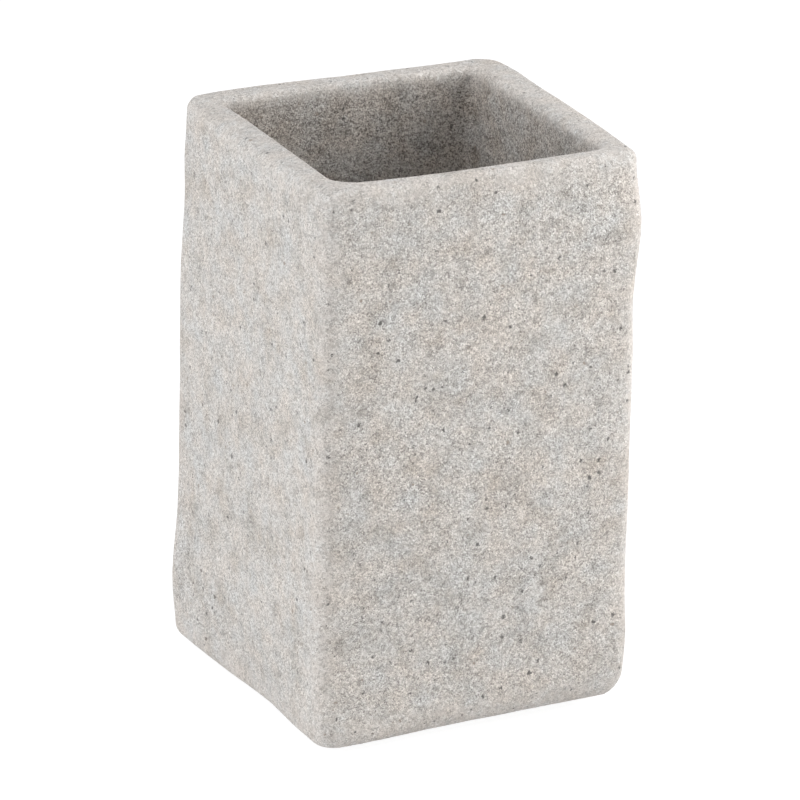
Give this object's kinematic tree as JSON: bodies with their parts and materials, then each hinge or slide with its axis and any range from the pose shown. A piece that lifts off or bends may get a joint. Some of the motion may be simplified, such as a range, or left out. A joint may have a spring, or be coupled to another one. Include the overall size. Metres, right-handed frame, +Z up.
{
  "type": "bathroom tumbler",
  "caption": "Square cast stone-look bathroom tumbler with a straight open cavity, rounded rim and upright corners, resting on small stick-on bumper feet.",
  "frame": {"origin": "centre of the body's plain square on the plane of the feet's soles, so the shelf is at z = 0", "axes": "+Z up out of the open cavity, +X to the right and -Y to the front, the wider of the two faces in the picture"},
  "size_m": [0.0678, 0.0664, 0.1098],
  "materials": {
    "stone_resin": "cast polyester resin filled with quartz sand: matt, fine-grained light warm grey with white, grey and sparse charcoal grains",
    "foot_rubber": "soft translucent bumper rubber, satin",
    "adhesive": "clear pressure-sensitive adhesive, faintly yellow"
  },
  "bodies": {
    "root": {"body": "stone_resin", "foot_front_left": "foot_rubber", "foot_front_right": "foot_rubber", "foot_back_right": "foot_rubber", "foot_back_left": "foot_rubber", "adhesive_front_left": "adhesive", "adhesive_front_right": "adhesive", "adhesive_back_right": "adhesive", "adhesive_back_left": "adhesive"}
  },
  "joints": []
}
